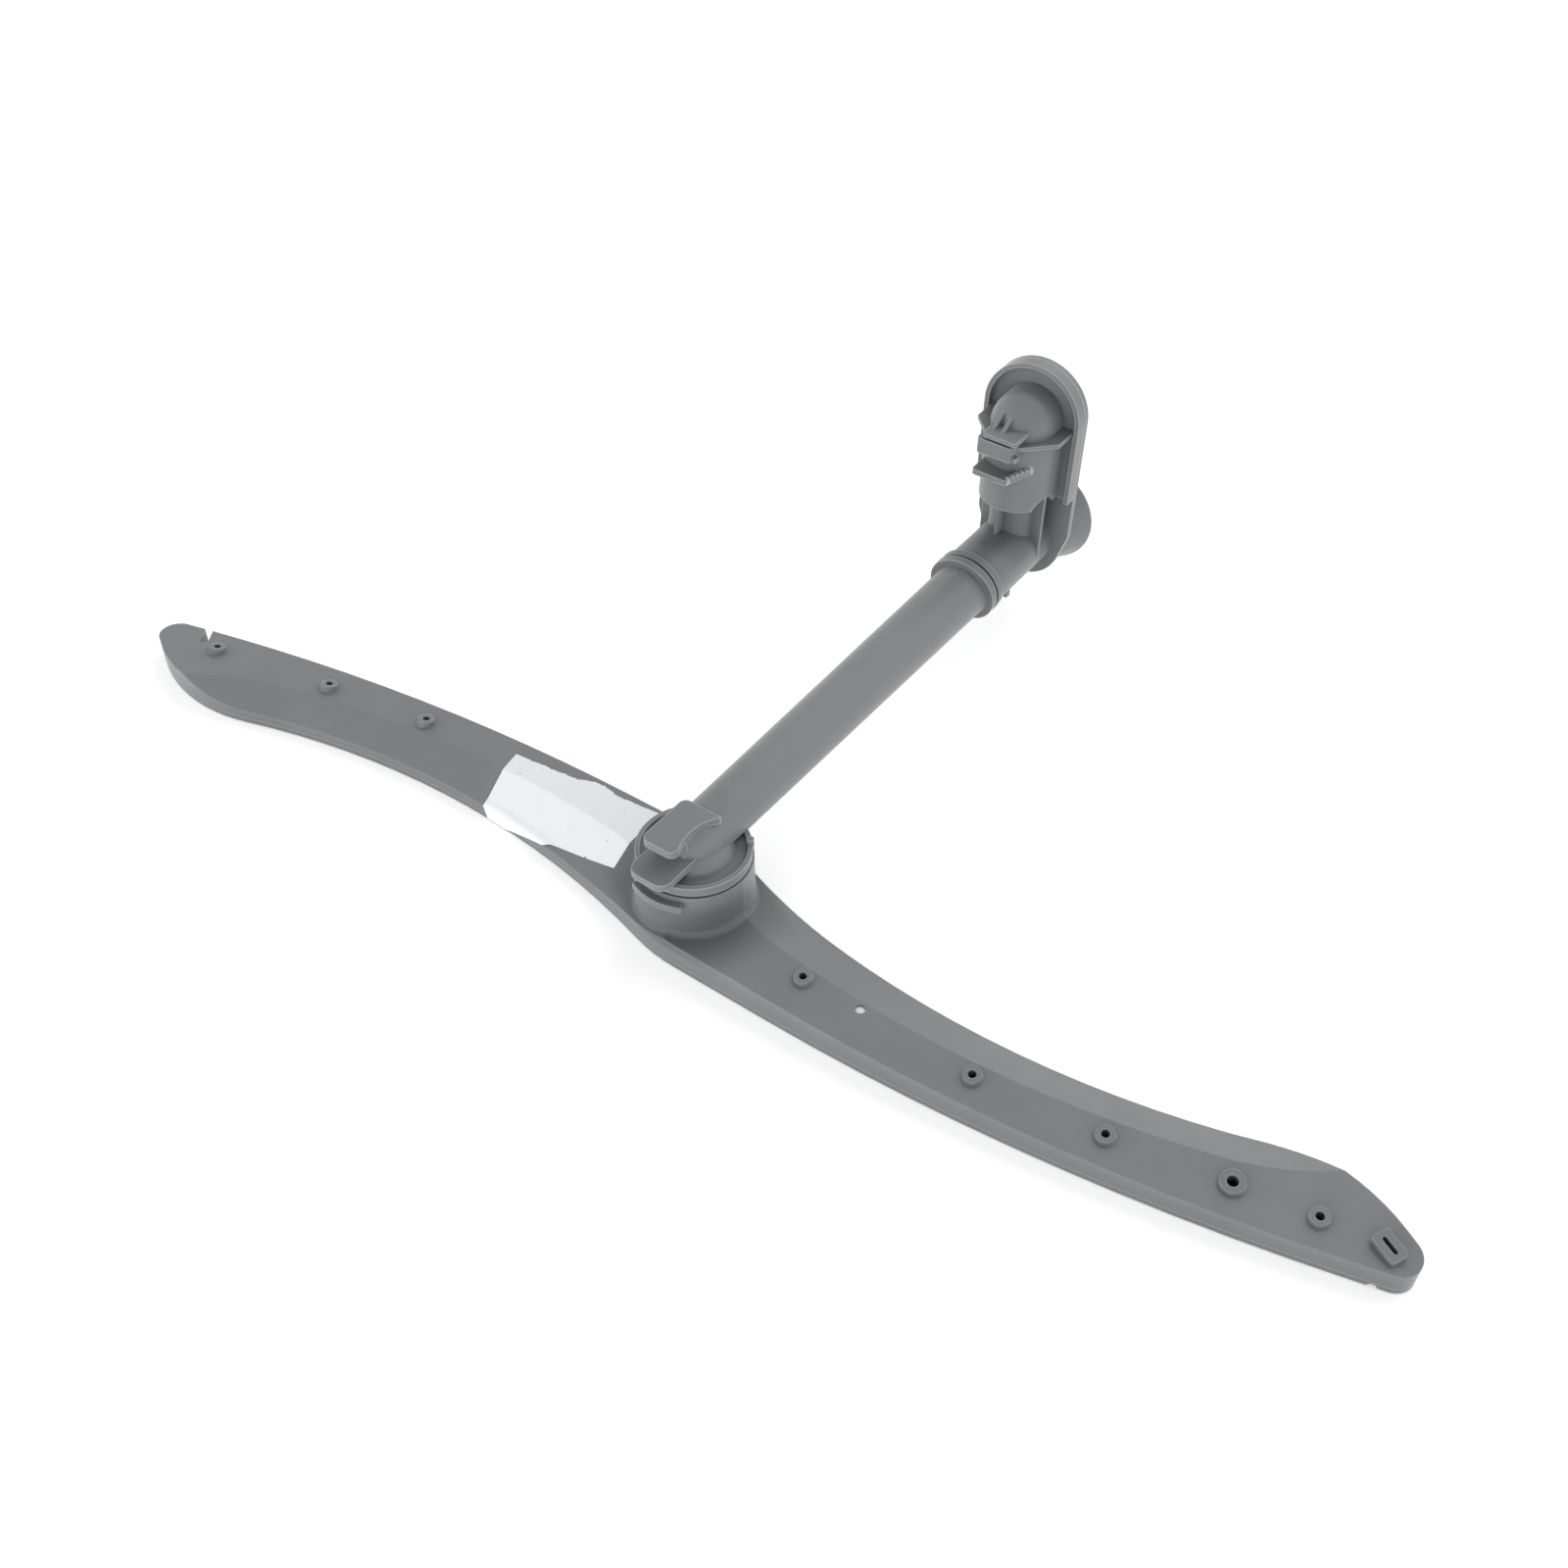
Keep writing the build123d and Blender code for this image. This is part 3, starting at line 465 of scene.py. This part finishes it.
# Feed tube
# One moulding: a tapered tube with a domed front end, an elbow, a dish, a spigot and the front rack clip.
# It is a little duller than the arm, with finer grain, a painted highlight on its edges, and painted shade
# where it meets the dish.
tube_grey = moulded(
    "tube_grey",
    colour=(0.173, 0.184, 0.193),
    clouding=0.2,
    painted_edge_highlight=1.3,
    edge_width=0.55 * MM,
    painted_corner_shade=0.05,
    roughness=0.46,
    grain=0.25,
    rounding=0.5 * MM,
)
# Painted shade: the tube darkens round the spin axis where it meets the dish.
darken_corner(
    tube_grey,
    axis=spin_axis,
    full_reach=14.5 * MM,
    reach=18.0 * MM,
    foot=18.0 * MM,
    head=31.0 * MM,
    head_fade=4.5 * MM,
    amount=0.5,
)
dress("feed_tube", tube_grey)

# Rubber rings
# Black rubber seals: one at the tube's end and one in each docking mouth.
# They are moulded rings with a dull, slightly dusty skin, and sit in their grooves by their own grip.
seal_black = moulded(
    "seal_black",
    colour=(0.03, 0.03, 0.032),
    clouding=0.3,
    painted_edge_highlight=0.3,
    edge_width=0.3 * MM,
    painted_corner_shade=0.2,
    roughness=0.6,
    grain=0.5,
    rounding=0.3 * MM,
)
for ring in ("tube_seal", "upper_gasket", "lower_gasket"):
    dress(ring, seal_black)

# Rear connector
# Sleeve, riser, upper elbow, hood and rear rack clip are one moulding, with thin walls and a painted
# highlight on its edges.
# The docking plate, of the same plastic, is welded on behind and carries the bell.
riser_axis = (0.0, 184.0 * MM)
connector_grey = moulded(
    "connector_grey",
    colour=(0.152, 0.16, 0.168),
    clouding=0.22,
    painted_edge_highlight=1.3,
    edge_width=0.55 * MM,
    painted_corner_shade=0.28,
    roughness=0.42,
    grain=0.3,
    rounding=0.45 * MM,
)
# Painted shade: the moulding darkens round the riser under the shroud, where the shroud's shade falls.
darken_corner(
    connector_grey,
    axis=riser_axis,
    full_reach=9.0 * MM,
    reach=17.0 * MM,
    foot=36.0 * MM,
    head=58.0 * MM,
    head_fade=2.0 * MM,
    amount=0.45,
)
dress("connector_body", connector_grey)
dress("docking_plate", connector_grey)

# Toothed end of the rear clip's floor
# The right edge of the clip's floor runs out to the tower as a small wing with a row of grip teeth.
# It is part of the connector's moulding, in the same plastic.
wing_front = Vector((5.3, 173.9)) * MM
wing_rear = Vector((10.3, 184.4)) * MM
wing_root = Vector((5.3, 184.4)) * MM
wing_bottom = 72.5 * MM
wing_top = 74.55 * MM
wing_rise = 1.7 * MM
tooth_count = 6
tooth_start = 0.2
tooth_end = 0.75
tooth_height = 0.9 * MM
tooth_width = 1.1 * MM
tooth_root = 0.3 * MM
wing_points = []
wing_faces = []


def add_prism(outline, bottom, top):
    """Add a closed prism over an outline that runs anticlockwise seen from above."""
    first = len(wing_points)
    count = len(outline)
    for height in (bottom, top):
        wing_points.extend(Vector((corner.x, corner.y, height)) for corner in outline)
    wing_faces.append(tuple(first + side for side in range(count - 1, -1, -1)))
    wing_faces.append(tuple(first + count + side for side in range(count)))
    for side in range(count):
        after = (side + 1) % count
        wing_faces.append((first + side, first + after, first + count + after, first + count + side))


add_prism((wing_front, wing_rear, wing_root), wing_bottom, wing_top)
edge_line = wing_rear - wing_front
inward = Vector((-edge_line.y, edge_line.x)).normalized() * tooth_width
for tooth in range(tooth_count):
    near = wing_front + edge_line * ((tooth + tooth_start) / tooth_count)
    far = wing_front + edge_line * ((tooth + tooth_end) / tooth_count)
    add_prism((near, far, far + inward, near + inward), wing_top - tooth_root, wing_top + tooth_height)
for point in wing_points:
    point.z += wing_rise * (point.y - wing_front.y) / edge_line.y
wing_mesh = bpy.data.meshes.new("clip_floor_wing")
wing_mesh.from_pydata(wing_points, [], wing_faces)
wing = bpy.data.objects.new("clip_floor_wing", wing_mesh)
bpy.context.scene.collection.objects.link(wing)
wing_mesh.materials.append(connector_grey)
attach(wing, "feed")

# Floor
# A plain white studio floor under the arm, matt, with the arm's soft shadow on it.
# It reads as paper white to the camera, as a lit sweep does.
floor_half = 3.0
floor_drop = 0.4 * MM
floor_glow = 0.42
floor_corners = [(x * floor_half, y * floor_half, 0) for x, y in ((-1, -1), (1, -1), (1, 1), (-1, 1))]
floor_mesh = bpy.data.meshes.new("floor")
floor_mesh.from_pydata(floor_corners, [], [(0, 1, 2, 3)])
floor = bpy.data.objects.new("floor", floor_mesh)
floor.location.z = -floor_drop
bpy.context.scene.collection.objects.link(floor)
floor_white = bpy.data.materials.new("floor_white")
floor_white.use_nodes = True
floor_tree = floor_white.node_tree
floor_shader = floor_tree.nodes["Principled BSDF"]
floor_shader.inputs["Base Color"].default_value = (0.9, 0.9, 0.9, 1)
floor_shader.inputs["Roughness"].default_value = 0.9
floor_shader.inputs["Specular IOR Level"].default_value = 0.1
floor_shader.inputs["Emission Color"].default_value = (1, 1, 1, 1)


def looked_at(tree):
    """1 where the camera sees a surface, straight on or in a reflection or through glass, else 0."""
    path = tree.nodes.new("ShaderNodeLightPath").outputs
    seen = reckon(tree, "MAXIMUM", path["Is Camera Ray"], path["Is Glossy Ray"])
    return reckon(tree, "MAXIMUM", seen, path["Is Transmission Ray"])


glow = reckon(floor_tree, "MULTIPLY", looked_at(floor_tree), floor_glow)
floor_tree.links.new(glow, floor_shader.inputs["Emission Strength"])
floor_mesh.materials.append(floor_white)

# Light
# White walls stand all round and are brighter than the ceiling, so upright faces are lighter than flat tops.
# A low strip in front stays out of reflections. Soft boxes stand at both sides, and a large one high behind.
wall_light = 1.5
ceiling_light = 0.44
ceiling_start = 0.6
backdrop_white = 1.0
world = bpy.data.worlds.new("studio")
world.use_nodes = True
sky = world.node_tree
backdrop = sky.nodes["Background"]
backdrop.inputs["Color"].default_value = (1, 1, 1, 1)
look = sky.nodes.new("ShaderNodeTexCoord")
look_parts = sky.nodes.new("ShaderNodeSeparateXYZ")
sky.links.new(look.outputs["Generated"], look_parts.inputs["Vector"])
ceiling = fade(sky, look_parts.outputs["Z"], start=0.0, full=ceiling_start)
room_light = reckon(sky, "MULTIPLY_ADD", ceiling, ceiling_light - wall_light, wall_light)
seen_light = sky.nodes.new("ShaderNodeMix")
feed(sky, seen_light.inputs["Factor"], looked_at(sky))
feed(sky, seen_light.inputs["A"], room_light)
feed(sky, seen_light.inputs["B"], backdrop_white)
sky.links.new(seen_light.outputs["Result"], backdrop.inputs["Strength"])
bpy.context.scene.world = world


def soft_box(name, place, aim, width, height, power):
    """Flat lamp at place that faces aim."""
    lamp = bpy.data.lights.new(name, "AREA")
    lamp.shape = "RECTANGLE"
    lamp.size = width
    lamp.size_y = height
    lamp.energy = power
    holder = bpy.data.objects.new(name, lamp)
    holder.location = place
    holder.rotation_euler = (Vector(aim) - Vector(place)).to_track_quat("-Z", "Y").to_euler()
    bpy.context.scene.collection.objects.link(holder)
    return holder


front_box = soft_box(
    "front_box", place=(0.25, -1.5, 0.14), aim=(0, 0, 0.03), width=1.6, height=0.25, power=12.0
)
front_box.visible_glossy = False
soft_box("left_box", place=(-1.3, -0.8, 0.55), aim=(-0.1, 0, 0.03), width=1.2, height=1.0, power=5.0)
soft_box("right_box", place=(1.6, 0.3, 0.2), aim=(0, 0.1, 0.03), width=0.8, height=0.3, power=2.0)
soft_box("rear_box", place=(0.2, 1.5, 1.2), aim=(0, 0.05, 0.03), width=2.0, height=2.0, power=19.0)

# Camera
# It stands in front, to the right and above, where the picture of the arm was taken from.
# Its lens, place and directions were fitted to points of the arm in that picture.
camera_place = Vector((0.23239, -0.28411, 0.40983))
camera_forward = Vector((-0.4134, 0.5913, -0.6925)).normalized()
camera_side = Vector((0.8120, 0.5835, 0.0134))
camera_right = (camera_side - camera_side.dot(camera_forward) * camera_forward).normalized()
camera_up = camera_right.cross(camera_forward)
camera_turn = Matrix((camera_right, camera_up, -camera_forward)).transposed()
camera_data = bpy.data.cameras.new("camera")
camera_data.sensor_width = 36.0
camera_data.lens = 38.88
camera = bpy.data.objects.new("camera", camera_data)
camera.matrix_world = Matrix.Translation(camera_place) @ camera_turn.to_4x4()
bpy.context.scene.collection.objects.link(camera)
bpy.context.scene.camera = camera
bpy.context.scene.view_settings.view_transform = "Standard"
